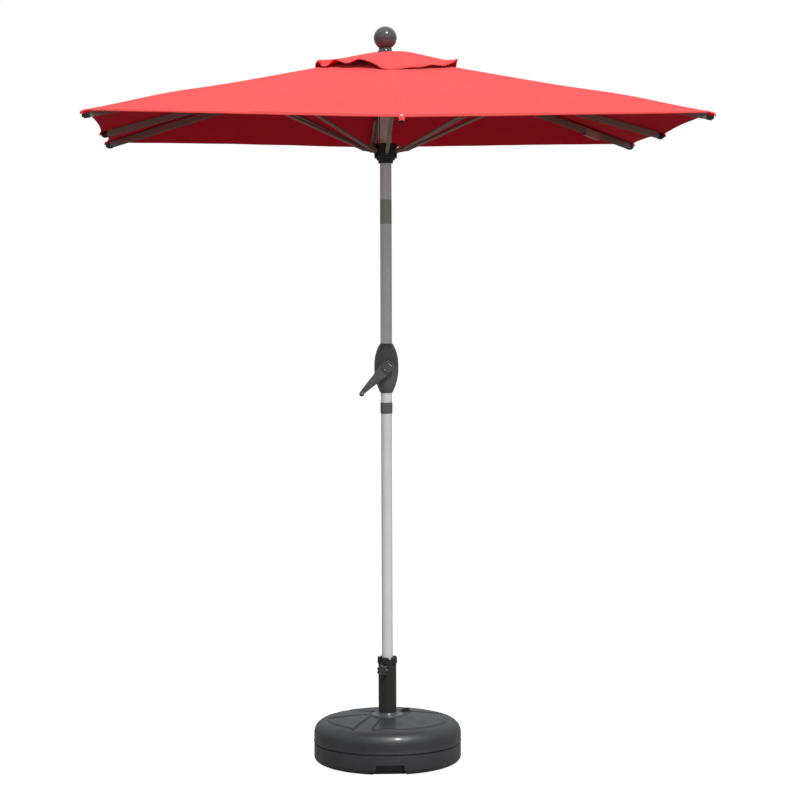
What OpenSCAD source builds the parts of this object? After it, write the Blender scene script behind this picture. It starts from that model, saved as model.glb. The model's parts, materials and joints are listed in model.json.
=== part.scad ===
// Crank-lift patio umbrella with a rectangular canopy, a two-part pole and a
// round fillable base. Millimetres, +Z up, origin on the ground under the pole.
// The long sides of the canopy face -Y and +Y.

/* [Canopy] */
// Half length of the canopy, from the pole to a short side
canopy_a = 950; // [850:10:1050]
// Half width of the canopy, from the pole to a long side
canopy_b = 665; // [600:5:700]
// Reach of the two middle ribs on the long axis
middle_a = 933; // [840:1:1030]
// Slope of the four corner ribs below level, in degrees
corner_slope = 11.7; // [11:0.1:13]
// Slope of the two long-axis ribs, in degrees
side_slope = 15.2; // [14:0.1:16.5]
// Slope of the two short-axis ribs, in degrees
short_slope = 21.4; // [20.6:0.1:21.8]
// Thickness of the canopy fabric
cloth_t = 1.2; // [0.8:0.1:2]
// Share of the canopy that the raised vent cap covers
vent_share = 0.246; // [0.2:0.002:0.28]
// Height of the main cloth plane over the ground at the pole
apex_z = 2345; // [2250:1:2400]

/* [Linkage] */
// Length from a rib's hub pin to its strut pin, and of every strut
link_l = 395; // [380:5:400]
// Slope of every strut when the canopy is open, in degrees
strut_slope = 22; // [21.5:0.1:22.5]
// Distance of the hub and runner pins from the pole's axis
pin_ring_r = 34; // [33:0.5:35]

/* [Ribs] */
// Width of a rib channel
rib_w = 16; // [15.5:0.5:18]
// Height of a rib channel
rib_h = 20; // [19:0.5:21]
// Wall of a rib channel
rib_wall = 1.5; // [1:0.1:2]
// Outer diameter of a strut
strut_d = 12; // [10:0.5:12]

/* [Pole] */
// Outer diameter of the upper pole
upper_d = 38.5; // [38:0.1:39]
// Outer diameter of the lower pole
lower_d = 37; // [36:0.1:37.4]
// Wall of both pole tubes
pole_wall = 1.5; // [1.2:0.1:1.8]
// Height at which the two pole tubes meet
joint_z = 1184; // [1150:1:1200]

/* [Crank] */
// Height of the crank axis
crank_z = 1321; // [1300:1:1330]
// Length of the crank arm between its two axes
arm_l = 123; // [100:1:140]
// Direction of the stored crank arm, in degrees from straight left
arm_angle = 45; // [30:1:60]

/* [Base] */
// Radius of the base tank at its parting lip
tank_r = 246.5; // [235:0.5:260]
// Height of the flat top of the tank
tank_h = 152; // [148:1:156]
// Outer diameter of the socket tube
socket_d = 60; // [58:0.5:62]
// Height of the top of the socket tube
socket_z = 345; // [320:1:360]
// Height of the clamp knob's axis
knob_z = 313; // [290:1:316]
// Direction of the clamp knob, in degrees around the pole
knob_dir = -113.5; // [-180:0.1:180]

/* [Hidden] */
SIDES = ["right", "back_right", "back", "back_left", "left", "front_left", "front", "front_right"];
ALL_RIBS = [0 : 7];
$fn = 64;

fine = 96;
gap = 0.2;
end_gap = 0.5;

// Directions, slopes, lengths and pin offsets of the eight ribs
corner_az = atan2(canopy_b, canopy_a);
corner_reach = norm([canopy_a, canopy_b]);
AZ = [0, corner_az, 90, 180 - corner_az, 180, 180 + corner_az, 270, 360 - corner_az];
function kind(i) = i % 2 == 1 ? 0 : (i % 4 == 0 ? 1 : 2);
function slope(i) = [corner_slope, side_slope, short_slope][kind(i)];
function reach(i) = [corner_reach, middle_a, canopy_b][kind(i)];
// Height of the hub pin over the rib's own axis
function pin_up(i) = [3, 0, -8][kind(i)];
// Height of the strut pin over the rib's own axis
function strut_pin_up(i) = pin_up(i) + link_l * sin(slope(i) - strut_slope);
// Distance of the strut pin along the rib
function strut_pin_x(i) = link_l * cos(slope(i) - strut_slope);
apex_gap = 0.3;
rib_axis_z = apex_z - rib_h / 2 - apex_gap - cloth_t - pin_ring_r * tan(corner_slope);
function hub_pin_z(i) = rib_axis_z + pin_up(i);
function runner_pin_z(i) = hub_pin_z(i) - 2 * link_l * sin(strut_slope);

pin_r = 2;
eye_r = 5.5;
pin_fit = 0.05;
foot_fit = 0.3;
blade_w = 6;
eye_w = 9;
slot_w = 7;
tube_start = 30;
strut_tube_start = 35.5;

hub_r = 40;
hub_bottom = hub_pin_z(2) - 11;
hub_top = apex_z + 1;
runner_r = 38.5;
runner_top = runner_pin_z(1) + 23.5;
runner_floor = runner_pin_z(2) - 8;
runner_foot = runner_floor - 21.5;
runner_bore_r = upper_d / 2 + 0.75;
slot_inner_r = 27;

pole_foot_z = 32;
pole_top_z = hub_top - 10;
spool_r = 15;
cord_d = 2.5;
cord_in_x = -8;
cord_out_x = -23.5;
pulley_x = (cord_in_x + cord_out_x) / 2;
pulley_r = (cord_in_x - cord_out_x) / 2 - cord_d / 2;
pulley_z = hub_bottom - 14;

housing_top = 1398;
housing_foot = 1234;
housing_mid = 1317;
housing_r = 40.5;
housing_end_r = 20.2;
housing_wall = 2.5;

well_r = socket_d / 2 + 0.5;

// ---------------------------------------------------------------- placing

// Places its children in a rib's own axes: x along the rib, z up from it
module on_rib(i) {
    rotate([0, 0, AZ[i]])
        translate([pin_ring_r, 0, hub_pin_z(i)])
            rotate([0, slope(i), 0])
                translate([0, 0, -pin_up(i)])
                    children();
}

// Places its children in a strut's own axes: x from the runner pin outwards
module on_strut(i) {
    rotate([0, 0, AZ[i]])
        translate([pin_ring_r, 0, runner_pin_z(i)])
            rotate([0, -strut_slope, 0])
                children();
}

// A cylinder along y, centred on the origin
module cross_rod(r, l) {
    rotate([90, 0, 0])
        cylinder(r = r, h = l, center = true);
}

// A box from x0 to x1 and from z0 to z1, centred across y
module bar(x0, x1, z0, z1, w) {
    translate([x0, -w / 2, z0])
        cube([x1 - x0, w, z1 - z0]);
}

// ---------------------------------------------------------------- ribs

rib_tip_gap = 9;
function rib_end(i) = (reach(i) - pin_ring_r) / cos(slope(i));

// A channel, open below, that carries one seam of the canopy
module rib(i) {
    color([0.42, 0.37, 0.33])
        on_rib(i)
            difference() {
                bar(tube_start, rib_end(i) - rib_tip_gap, -rib_h / 2, rib_h / 2, rib_w);
                bar(tube_start - 1, rib_end(i), -rib_h / 2 - 1, rib_h / 2 - rib_wall,
                    rib_w - 2 * rib_wall);
                translate([strut_pin_x(i), 0, strut_pin_up(i)])
                    cross_rod(pin_r + gap, rib_w + 2);
            }
}

cheek_t = 2;
cheek_l = 52;
cheek_r = 7.5;
plug_w = rib_w - 2 * rib_wall - 2 * gap;
cap_l = 20;
cap_w = rib_w + 2;
cap_nose = 8;
cap_nose_r = 6.5;

// The hub plug: an eye on a blade, and a block that fills the rib's inner end
module hub_plug(i) {
    up = pin_up(i);
    difference() {
        union() {
            translate([0, 0, up])
                cross_rod(eye_r, blade_w);
            intersection() {
                bar(-eye_r, tube_start, -rib_h / 2, rib_h / 2 + 4, blade_w);
                rotate([90, 0, 0])
                    linear_extrude(blade_w, center = true)
                        polygon([[-3, up + 4.4], [3, up + eye_r - 0.6], [tube_start - 6, 8],
                                 [tube_start, 8], [tube_start, -8], [tube_start - 6, -8],
                                 [3, up - eye_r + 0.6], [-3, up - 4.4]]);
            }
            bar(tube_start + gap, tube_start + 26, -8, rib_h / 2 - rib_wall - gap, plug_w);
            bar(tube_start - 1, tube_start + 1, -8, 8, blade_w);
        }
        translate([0, 0, up])
            cross_rod(pin_r + pin_fit, blade_w + 2);
    }
}

// Two cheeks that hang from the rib's sides and carry the strut pin
module strut_bracket(i) {
    x = strut_pin_x(i);
    z = strut_pin_up(i);
    foot = min(z, -4);
    for (side = [-1, 1])
        translate([0, side * (rib_w / 2 + gap + cheek_t / 2), 0])
            union() {
                rotate([90, 0, 0])
                    linear_extrude(cheek_t, center = true)
                        polygon([[x - cheek_l / 2, 8], [x + cheek_l / 2, 8],
                                 [x + cheek_l / 2, 0], [x + cheek_r, foot], [x - cheek_r, foot],
                                 [x - cheek_l / 2, 0]]);
                translate([x, 0, foot])
                    cross_rod(cheek_r, cheek_t);
            }
    translate([x, 0, z])
        cross_rod(pin_r, rib_w + 2 * gap + 2 * cheek_t + 3);
}

// The end cap that the canopy's corner pocket pulls over
module tip_cap(i) {
    x1 = rib_end(i);
    difference() {
        union() {
            bar(x1 - cap_l, x1 - cap_nose, -rib_h / 2 - 1, rib_h / 2 - 1.5, cap_w);
            translate([x1 - cap_nose, 0, -1.5])
                intersection() {
                    cross_rod(cap_nose_r, cap_w - 1);
                    bar(-1, cap_nose, -cap_nose_r, cap_nose_r, cap_w);
                }
        }
        bar(x1 - cap_l - 1, x1 - rib_tip_gap + end_gap, -rib_h / 2 - gap, rib_h, rib_w + 2 * gap);
    }
}

module rib_fittings(i) {
    color([0.08, 0.08, 0.08])
        on_rib(i) {
            hub_plug(i);
            strut_bracket(i);
            tip_cap(i);
        }
}

// A cylinder along x between two places, on the x axis
module long_rod(r, x0, x1) {
    translate([x0, 0, 0])
        rotate([0, 90, 0])
            cylinder(r = r, h = x1 - x0);
}

tube_rise = 2.4;

// Turns its children about the strut's middle, so the tube is steeper than its pins
module on_tube() {
    translate([link_l / 2, 0, 0])
        rotate([0, -tube_rise, 0])
            translate([-link_l / 2, 0, 0])
                children();
}

// A flat plate of an outline in the xz plane, centred across y
module lug(outline, w) {
    rotate([90, 0, 0])
        linear_extrude(w, center = true)
            polygon(outline);
}

// A strut: a round tube with a flat foot blade and an eye at its upper end
module strut(i) {
    color([0.42, 0.37, 0.33])
        on_strut(i)
            difference() {
                union() {
                    cross_rod(eye_r, blade_w);
                    lug([[0, -eye_r], [0, eye_r], [8, eye_r], [41, -1], [41, -12], [8, -eye_r]],
                        blade_w);
                    on_tube()
                        long_rod(strut_d / 2, strut_tube_start, link_l - 4);
                    lug([[link_l - 22, 2], [link_l - 22, 11], [link_l - 5, 13],
                         [link_l + 4.5, 3], [link_l + 3, -4.5], [link_l - 4, -4]], eye_w);
                    translate([link_l, 0, 0])
                        cross_rod(eye_r, eye_w);
                }
                on_tube()
                    long_rod(strut_d / 2 - 1.2, strut_tube_start + 12, link_l - 28);
                cross_rod(pin_r + foot_fit, blade_w + 2);
                translate([link_l, 0, 0])
                    cross_rod(pin_r + pin_fit, eye_w + 2);
            }
}

// ---------------------------------------------------------------- canopy

seam_gap = 0.25;
hole_share = 0.11;
hem_pull = 0.985;

// Gap from a rib's middle to the cloth, which rests on the rib's two edges
function cloth_gap(i) = [3.2, 0.4, 0.9][kind(i)];
// Height of the cloth's lower face over a rib, at a distance from the pole
function cloth_z(i, r) = rib_axis_z + rib_h / 2 / cos(slope(i)) + cloth_gap(i)
    - (r - pin_ring_r) * tan(slope(i));
function on_line(i, share) = let (r = reach(i) * share)
    [r * cos(AZ[i]), r * sin(AZ[i]), cloth_z(i, r)];
function halfway(i, j, share) = (on_line(i % 8, share) + on_line(j % 8, share)) / 2;

// Moves a seam point a little towards the rib, so that neighbours stay apart
function inset(p, q) = p + (q - p) * seam_gap / norm(q - p);

// The part of the canopy that one rib carries: two triangles' halves on a ridge
module canopy_gore(i) {
    n = (i + 7) % 8;
    m = (i + 1) % 8;
    in_rib = on_line(i, hole_share);
    out_rib = on_line(i, 1);
    in_a = inset(halfway(i, n, hole_share), in_rib);
    in_b = inset(halfway(i, m, hole_share), in_rib);
    out_a = inset(halfway(i, n, hem_pull), out_rib);
    out_b = inset(halfway(i, m, hem_pull), out_rib);
    low = [in_a, in_rib, in_b, out_b, out_rib, out_a];
    up = [0, 0, cloth_t];
    color([0.85, 0.22, 0.2])
        polyhedron(
            points = concat(low, [for (p = low) p + up]),
            faces = [[0, 1, 4], [0, 4, 5], [1, 2, 3], [1, 3, 4],
                     [6, 10, 7], [6, 11, 10], [7, 9, 8], [7, 10, 9],
                     [0, 7, 1], [0, 6, 7], [1, 8, 2], [1, 7, 8], [2, 9, 3], [2, 8, 9],
                     [3, 10, 4], [3, 9, 10], [4, 11, 5], [4, 10, 11], [5, 6, 0], [5, 11, 6]]);
}

vent_lift = 22;
vent_hole_r = 10;
vent_apex = apex_z + 11;

// The small raised cap over the hole in the middle of the canopy
module vent_canopy() {
    function edge(i) = let (r = reach(i) * vent_share)
        [r * cos(AZ[i]), r * sin(AZ[i]), cloth_z(i, r) + vent_lift];
    outer = [for (i = ALL_RIBS) edge(i)];
    inner = [for (i = ALL_RIBS) [vent_hole_r * cos(AZ[i]), vent_hole_r * sin(AZ[i]), vent_apex]];
    up = [0, 0, cloth_t];
    low = concat(outer, inner);
    color([0.85, 0.22, 0.2])
        polyhedron(
            points = concat(low, [for (p = low) p + up]),
            faces = [for (i = ALL_RIBS, f = let (j = (i + 1) % 8)
                [[i, i + 8, j + 8], [i, j + 8, j],
                 [i + 16, j + 24, i + 24], [i + 16, j + 16, j + 24],
                 [i, j, j + 16], [i, j + 16, i + 16],
                 [i + 8, j + 24, j + 8], [i + 8, i + 24, j + 24]]) f]);
}

// ---------------------------------------------------------------- hub and runner

// Radial slots for the eight blades, from a given radius outwards
module blade_slots(z0, z1, inner_r, outer_r) {
    for (a = AZ)
        rotate([0, 0, a])
            translate([inner_r, -slot_w / 2, z0])
                cube([outer_r - inner_r, slot_w, z1 - z0]);
}

hub_roof = 6;

module top_hub() {
    color([0.09, 0.09, 0.09])
        difference() {
            union() {
                translate([0, 0, hub_bottom])
                    cylinder(r = hub_r, h = hub_top - hub_bottom - hub_roof, $fn = fine);
                translate([0, 0, hub_top - hub_roof])
                    cylinder(r = 26, h = hub_roof, $fn = fine);
            }
            translate([0, 0, hub_bottom - 1])
                cylinder(r = upper_d / 2 + 0.1, h = pole_top_z - hub_bottom + 1 + gap, $fn = fine);
            blade_slots(hub_bottom - 1, hub_top - hub_roof + 1, slot_inner_r, hub_r + 5);
            translate([0, 0, pole_top_z - 1])
                cylinder(r = 4.2, h = 30);
            hub_pin_rods(pin_r + 0.02, 0.1);
            translate([cord_out_x, 0, hub_bottom - 1])
                cylinder(r = 2.6, h = 6);
        }
}

pin_l = 15;
module hub_pin_rods(r, extra) {
    for (i = ALL_RIBS)
        rotate([0, 0, AZ[i]])
            translate([pin_ring_r, 0, hub_pin_z(i)])
                cross_rod(r, pin_l + extra);
}

module hub_pins() {
    color([0.7, 0.7, 0.72])
        hub_pin_rods(pin_r, 0);
}

module finial() {
    ball_z = 2404.5;
    ball_r = 38;
    neck_r = 22;
    color([0.2, 0.2, 0.21]) {
        difference() {
            union() {
                translate([0, 0, ball_z])
                    sphere(r = ball_r, $fn = fine);
                translate([0, 0, vent_apex + cloth_t + gap])
                    rotate_extrude($fn = fine)
                        polygon(concat([[0, 0], [26.5, 0], [26.5, 1.5]],
                            [for (t = [0 : 6]) [neck_r + 4 * pow(1 - t / 6, 2), 2 + 12 * t / 6]],
                            [[0, 20]]));
            }
            translate([0, 0, vent_apex - 1])
                cylinder(r = 4.2, h = 34);
        }
        translate([0, 0, pole_top_z + 1])
            cylinder(r = 4, h = vent_apex + 32 - pole_top_z - 1);
        translate([0, 0, hub_top + 0.2])
            difference() {
                cylinder(r = 9.5, h = vent_apex - hub_top - 0.5);
                translate([0, 0, -1])
                    cylinder(r = 4.2, h = 20);
            }
    }
}

module runner() {
    color([0.09, 0.09, 0.09])
        difference() {
            rotate_extrude($fn = fine)
                polygon([[runner_bore_r, runner_foot], [23.5, runner_foot],
                         [24.5, runner_foot + 1], [24.5, runner_foot + 8],
                         [29, runner_foot + 10], [30.5, runner_foot + 12],
                         [30.5, runner_floor - 6], [runner_r - 3, runner_floor - 5],
                         [runner_r - 1, runner_floor - 3], [runner_r, runner_top - 2],
                         [runner_r - 2, runner_top], [runner_bore_r, runner_top]]);
            blade_slots(runner_floor, runner_top + 1, slot_inner_r, runner_r + 5);
            runner_pin_rods(pin_r + 0.02, 0.1);
            translate([cord_out_x, 0, runner_top - 12])
                cylinder(r = 1.6, h = 13);
        }
}

module runner_pin_rods(r, extra) {
    for (i = ALL_RIBS)
        rotate([0, 0, AZ[i]])
            translate([pin_ring_r, 0, runner_pin_z(i)])
                cross_rod(r, pin_l + extra);
}

module runner_pins() {
    color([0.7, 0.7, 0.72])
        runner_pin_rods(pin_r, 0);
}

// ---------------------------------------------------------------- pole

module tube(r, wall, z0, z1) {
    difference() {
        translate([0, 0, z0])
            cylinder(r = r, h = z1 - z0, $fn = fine);
        translate([0, 0, z0 - 1])
            cylinder(r = r - wall, h = z1 - z0 + 2, $fn = fine);
    }
}

module lower_pole() {
    color([0.76, 0.76, 0.76])
        tube(lower_d / 2, pole_wall, pole_foot_z, joint_z);
}

spigot_r = lower_d / 2 - pole_wall - 0.15;
upper_in_r = upper_d / 2 - pole_wall;

// The inner tube that the upper pole carries down into the lower pole
module pole_spigot() {
    color([0.7, 0.7, 0.7])
        difference() {
            union() {
                translate([0, 0, joint_z - 110])
                    cylinder(r = spigot_r, h = 111, $fn = fine);
                translate([0, 0, joint_z + 1])
                    cylinder(r = upper_in_r - 0.02, h = 44, $fn = fine);
            }
            translate([0, 0, joint_z - 111])
                cylinder(r = spigot_r - 2, h = 160, $fn = fine);
        }
}

sleeve_foot = joint_z - 18;
sleeve_top = joint_z + 18;

// The plastic collar that hides the joint, fixed on the lower pole
module joint_sleeve() {
    color([0.24, 0.24, 0.23])
        difference() {
            rotate_extrude($fn = fine)
                polygon([[lower_d / 2 + 0.02, sleeve_foot], [19.6, sleeve_foot],
                         [20.3, sleeve_foot + 2], [20.3, sleeve_top - 2], [19.9, sleeve_top],
                         [upper_d / 2 + 0.15, sleeve_top], [upper_d / 2 + 0.15, joint_z + 0.4],
                         [lower_d / 2 + 0.02, joint_z + 0.4]]);
        }
}

spool_window_w = 33;
spool_window_h = 36;

module upper_pole() {
    color([0.72, 0.72, 0.72])
        difference() {
            tube(upper_d / 2, pole_wall, joint_z + 1, pole_top_z);
            translate([-spool_window_w / 2, -30, crank_z - spool_window_h / 2])
                cube([spool_window_w, 60, spool_window_h]);
            translate([-30, -4, pulley_z - 14])
                cube([20, 8, 28]);
        }
}

// ---------------------------------------------------------------- crank

// Outline of the housing: full above the crank axis, tapering below it
function housing_at(z) = z > housing_mid
    ? housing_r - (housing_r - housing_end_r) * pow((z - housing_mid) / (housing_top - housing_mid), 2.65)
    : housing_r - (housing_r - housing_end_r) * pow((housing_mid - z) / (housing_mid - housing_foot), 2.1);
housing_steps = 22;
function housing_z(k) = housing_foot + (housing_top - housing_foot) * k / housing_steps;

module housing_body(inset_r, cut) {
    rotate_extrude($fn = fine)
        polygon(concat(
            [[upper_d / 2 + 0.02, housing_foot + cut]],
            [for (k = [0 : housing_steps]) let (z = housing_z(k))
                [max(housing_at(z) - inset_r, upper_d / 2 + 0.03),
                 min(max(z, housing_foot + cut), housing_top - cut)]],
            [[upper_d / 2 + 0.02, housing_top - cut]]));
}

boss_r = 21;
boss_front = 43;
screw_spots = [[-27, 1345], [27, 1345], [-22, 1272], [22, 1272]];

module housing_shell(front) {
    difference() {
        union() {
            difference() {
                housing_body(0, 0);
                housing_body(housing_wall, 5);
            }
            if (front)
                translate([0, -boss_front, crank_z])
                    rotate([-90, 0, 0])
                        difference() {
                            cylinder(r = boss_r, h = 14);
                            translate([0, 0, 3])
                                cylinder(r = boss_r - 3, h = 20);
                        }
            intersection() {
                housing_body(1, 1);
                for (p = screw_spots)
                    translate([p[0], front ? -20 : 0.1, p[1]])
                        rotate([-90, 0, 0])
                            cylinder(r = 5, h = 19.9);
            }
        }
        translate([-60, front ? -0.1 : -80.1, housing_foot - 10])
            cube([120, 80.2, 200]);
        translate([0, -60, crank_z])
            rotate([-90, 0, 0])
                cylinder(r = 5.2, h = 50);
        for (p = screw_spots)
            translate([p[0], 0, p[1]]) {
                translate([0, 7, 0])
                    cross_rod(1.8, 50);
                translate([0, 27, 0])
                    cross_rod(3.6, 22);
            }
    }
}

module crank_housing_front() {
    color([0.22, 0.22, 0.22])
        housing_shell(true);
}

module crank_housing_rear() {
    color([0.22, 0.22, 0.22])
        housing_shell(false);
}

// Four self-tapping screws from behind
module housing_screws() {
    color([0.75, 0.75, 0.76])
        for (p = screw_spots)
            translate([p[0], 0, p[1]]) {
                translate([0, 1, 0])
                    cross_rod(1.75, 30);
                translate([0, 17, 0])
                    cross_rod(3.3, 2);
            }
}

shaft_r = 4;
arm_clear = 1;
arm_t = 13;
module crank_shaft() {
    color([0.7, 0.7, 0.72])
        translate([0, 0, crank_z])
            rotate([90, 0, 0])
                translate([0, 0, -16])
                    cylinder(r = shaft_r, h = 16 + boss_front + arm_clear + arm_t - 3 - gap);
}

// The reel that winds the lift cord, inside the pole
module cord_spool() {
    color([0.15, 0.15, 0.15])
        translate([0, 0, crank_z])
            difference() {
                union() {
                    cross_rod(8 - cord_d, 20);
                    for (y = [-9, 9])
                        translate([0, y, 0])
                            cross_rod(spool_r, 2);
                }
                cross_rod(shaft_r + 0.02, 30);
            }
}

arm_back = boss_front + arm_clear;
head_r = 22;
tip_r = 6.5;
crank_knob_r = 8.5;
slot_x = -11;

// Places its children at the crank's axis, x along the arm, z towards the user
module on_arm() {
    translate([0, -arm_back, crank_z])
        rotate([90, 0, 0])
            rotate([0, 0, 180 + arm_angle])
                children();
}

module crank_arm() {
    color([0.25, 0.25, 0.24])
        on_arm()
            difference() {
                union() {
                    cylinder(r = head_r, h = arm_t, $fn = fine);
                    linear_extrude(arm_t - 2)
                        polygon([[4, head_r - 0.6], [arm_l, tip_r], [arm_l, -tip_r],
                                 [4, -head_r + 0.6]]);
                    translate([arm_l, 0, 0])
                        cylinder(r = tip_r, h = arm_t - 2);
                }
                translate([0, 0, -1])
                    cylinder(r = shaft_r + 0.02, h = arm_t - 2);
                translate([arm_l, 0, -1])
                    cylinder(r = 2.55, h = arm_t + 2);
                translate([slot_x - 3.5, -8, arm_t - 3])
                    cube([7, 16, 5]);
            }
}

// The bright cross pin in the crank's head
module crank_pin() {
    color([0.9, 0.9, 0.9])
        on_arm()
            translate([slot_x, 0, arm_t - 0.3])
                cross_rod(2.6, 15.6);
}

// The knob that the fingers turn the crank by, free on its own axle
module crank_knob() {
    color([0.12, 0.12, 0.12])
        on_arm()
            translate([arm_l, 0, 0]) {
                translate([0, 0, 0.5])
                    cylinder(r = 2.5, h = arm_t);
                translate([0, 0, arm_t - 2 + 0.4])
                    rotate_extrude()
                        polygon([[0, 0], [5, 0], [6.4, 6], [7.6, 14], [crank_knob_r, 22],
                                 [8, 27], [6, 30], [3, 31.6], [0, 32]]);
            }
}

// ---------------------------------------------------------------- lift cord

cord_rows = 6;
cord_path = concat(
    [[cord_in_x, 0, crank_z + 3], [cord_in_x, 0, 1380], [cord_in_x, 0, 1560],
     [cord_in_x, 0, 1800], [cord_in_x, 0, 2040], [cord_in_x, 0, 2200],
     [cord_in_x, 0, pulley_z - 4]],
    [for (k = [0 : cord_rows]) let (a = 180 * k / cord_rows)
        [pulley_x + (cord_in_x - pulley_x) * cos(a), 0,
         pulley_z + (cord_in_x - pulley_x) * sin(a)]],
    [[cord_out_x, 0, pulley_z - 4], [cord_out_x, 0, 2180], [cord_out_x, 0, runner_top + 0.5]]);
cord_sides = 8;

// One ring of the cord, square to the path in the xz plane
function cord_ring(k) =
    let (a = cord_path[max(k - 1, 0)], b = cord_path[min(k + 1, len(cord_path) - 1)],
         d = (b - a) / norm(b - a), side = [d[2], 0, -d[0]])
    [for (j = [0 : cord_sides - 1]) let (t = 360 * j / cord_sides)
        cord_path[k] + cord_d / 2 * (cos(t) * side + sin(t) * [0, 1, 0])];

module lift_cord() {
    rings = len(cord_path);
    color([0.85, 0.82, 0.76])
        polyhedron(
            points = [for (k = [0 : rings - 1], p = cord_ring(k)) p],
            faces = concat(
                [[for (j = [0 : cord_sides - 1]) j]],
                [[for (j = [cord_sides - 1 : -1 : 0]) (rings - 1) * cord_sides + j]],
                [for (k = [0 : rings - 2], j = [0 : cord_sides - 1])
                    let (n = (j + 1) % cord_sides, a = k * cord_sides, b = a + cord_sides)
                    [a + j, b + j, b + n, a + n]]));
}

module cord_pulley() {
    color([0.85, 0.85, 0.82])
        translate([pulley_x, 0, pulley_z])
            difference() {
                rotate([90, 0, 0])
                    rotate_extrude()
                        polygon([[1.6, -2.5], [pulley_r + 1, -2.5], [pulley_r - 0.2, -1.2],
                                 [pulley_r - 0.2, 1.2], [pulley_r + 1, 2.5], [1.6, 2.5]]);
            }
}

// Two plates under the hub that hold the pulley's axle
module pulley_bracket() {
    color([0.6, 0.6, 0.62])
        difference() {
            union() {
                for (side = [-1, 1])
                    translate([pulley_x - 5, side * 3.4 - 0.5, pulley_z - 6])
                        cube([10, 1, hub_bottom - pulley_z + 6 - gap]);
                translate([pulley_x, 0, pulley_z])
                    cross_rod(1.5, 7.8);
            }
        }
}

// ---------------------------------------------------------------- base

tank_wall = 4;
lip_z = 73;
lip = 1.2;
side_r = tank_r - lip;
well_wall_r = well_r + 5;
rim_r = 44;
rim_h = 42.5;
rim_drop = 52;
foot_r = 38;
foot_h = 22;

// Half outline of the tank, from its foot to the middle of its top, set in by t
function tank_outline(t) = concat(
    [for (k = [0 : 5]) let (a = 90 * k / 5)
        [side_r - foot_r + (foot_r - t) * sin(a), foot_h - (foot_h - t) * cos(a)]],
    t > 0 ? [] : [[side_r, lip_z - 6], [tank_r, lip_z - 2], [tank_r, lip_z + 1],
                  [side_r, lip_z + 1.5]],
    [for (k = [0 : 8]) let (a = 90 * k / 8)
        [side_r - rim_r + (rim_r - t) * cos(a), tank_h - rim_drop + (rim_h - t) * sin(a)]],
    [[130, tank_h - 1.5 - t], [60, tank_h + 4 - t]]);

notch_w = 95;
notch_h = 37;
notch_d = 45;
notch_flare = 9;
notch_dir = -92.3;
filler_r = 13;
filler_at = 87;
filler_dir = 41;

// The hand holds under the rim, front and back
module notches(grow) {
    half = notch_w / 2 + grow;
    for (turn = [0, 180])
        rotate([0, 0, notch_dir + turn])
            translate([side_r - notch_d - grow, 0, 0])
                rotate([90, 0, 90])
                    linear_extrude(notch_d + grow + 20)
                        polygon([[-half - notch_flare, -1], [half + notch_flare, -1],
                                 [half, notch_h / 2], [half, notch_h + grow],
                                 [-half, notch_h + grow], [-half, notch_h / 2]]);
}

panel_h = 2.5;
panel_in_r = 62;
panel_out_r = 200;
// First and last direction of each raised panel on the tank's top
PANELS = [[-109, 8], [22, 128], [140, 221]];

module panel(from, to) {
    intersection() {
        rotate_extrude($fn = fine)
            polygon([[panel_in_r, tank_h - 4], [panel_in_r, tank_h + 3.5 + panel_h],
                     [130, tank_h - 1.5 + panel_h], [panel_out_r - 14, tank_h - 8 + panel_h],
                     [panel_out_r - 4, tank_h - 9], [panel_out_r, tank_h - 12],
                     [panel_out_r - 10, tank_h - 14]]);
        translate([0, 0, tank_h - 20])
            linear_extrude(40)
                polygon(concat([[0, 0]],
                    [for (k = [0 : 6]) let (a = from + (to - from) * k / 6)
                        300 * [cos(a), sin(a)]]));
    }
}

module filler_place(z) {
    rotate([0, 0, filler_dir])
        translate([filler_at, 0, z])
            children();
}

// The hollow inside the tank, set in by a further t, up to a height
module tank_hollow(t, top) {
    difference() {
        rotate_extrude($fn = fine)
            difference() {
                polygon(concat([[well_wall_r + t, tank_wall + t]], tank_outline(tank_wall + t),
                               [[well_wall_r + t, tank_h + 4 - tank_wall - t]]));
                translate([0, top])
                    square([300, 300]);
            }
        notches(tank_wall + t);
    }
}

module base_tank() {
    color([0.17, 0.17, 0.18])
        difference() {
            union() {
                rotate_extrude($fn = fine)
                    polygon(concat([[0, 0]], tank_outline(0), [[0, tank_h + 4]]));
                for (p = PANELS)
                    panel(p[0], p[1]);
            }
            difference() {
                tank_hollow(0, tank_h + 10);
                filler_place(tank_h - 16)
                    cylinder(r = filler_r + 4, h = 40);
            }
            notches(0);
            translate([0, 0, pole_foot_z - 4])
                cylinder(r = well_r, h = tank_h, $fn = fine);
            translate([0, 0, -1])
                cylinder(r = 12, h = pole_foot_z);
            filler_place(tank_h - 20)
                cylinder(r = filler_r, h = 60);
        }
}

fill_z = 122;

// Sand poured in through the filler
module ballast_fill() {
    color([0.76, 0.7, 0.56])
        tank_hollow(0.5, fill_z);
}

module filler_cap() {
    color([0.1, 0.1, 0.1])
        filler_place(tank_h + panel_h + 3.1) {
            translate([0, 0, -16])
                cylinder(r = filler_r - 0.3, h = 16);
            translate([0, 0, 0])
                cylinder(r = filler_r + 4, h = 3);
            translate([-filler_r, -2.5, 2])
                cube([2 * filler_r, 5, 7]);
        }
}

flange_z = tank_h + 4.3;
flange_r = 51.5;
nut_r = 9;
nut_out = 37;
screw_r = 4;

// Places its children on the clamp screw's axis, z pointing outwards
module clamp_axis() {
    rotate([0, 0, knob_dir])
        translate([0, 0, knob_z])
            rotate([0, 90, 0])
                children();
}

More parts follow.
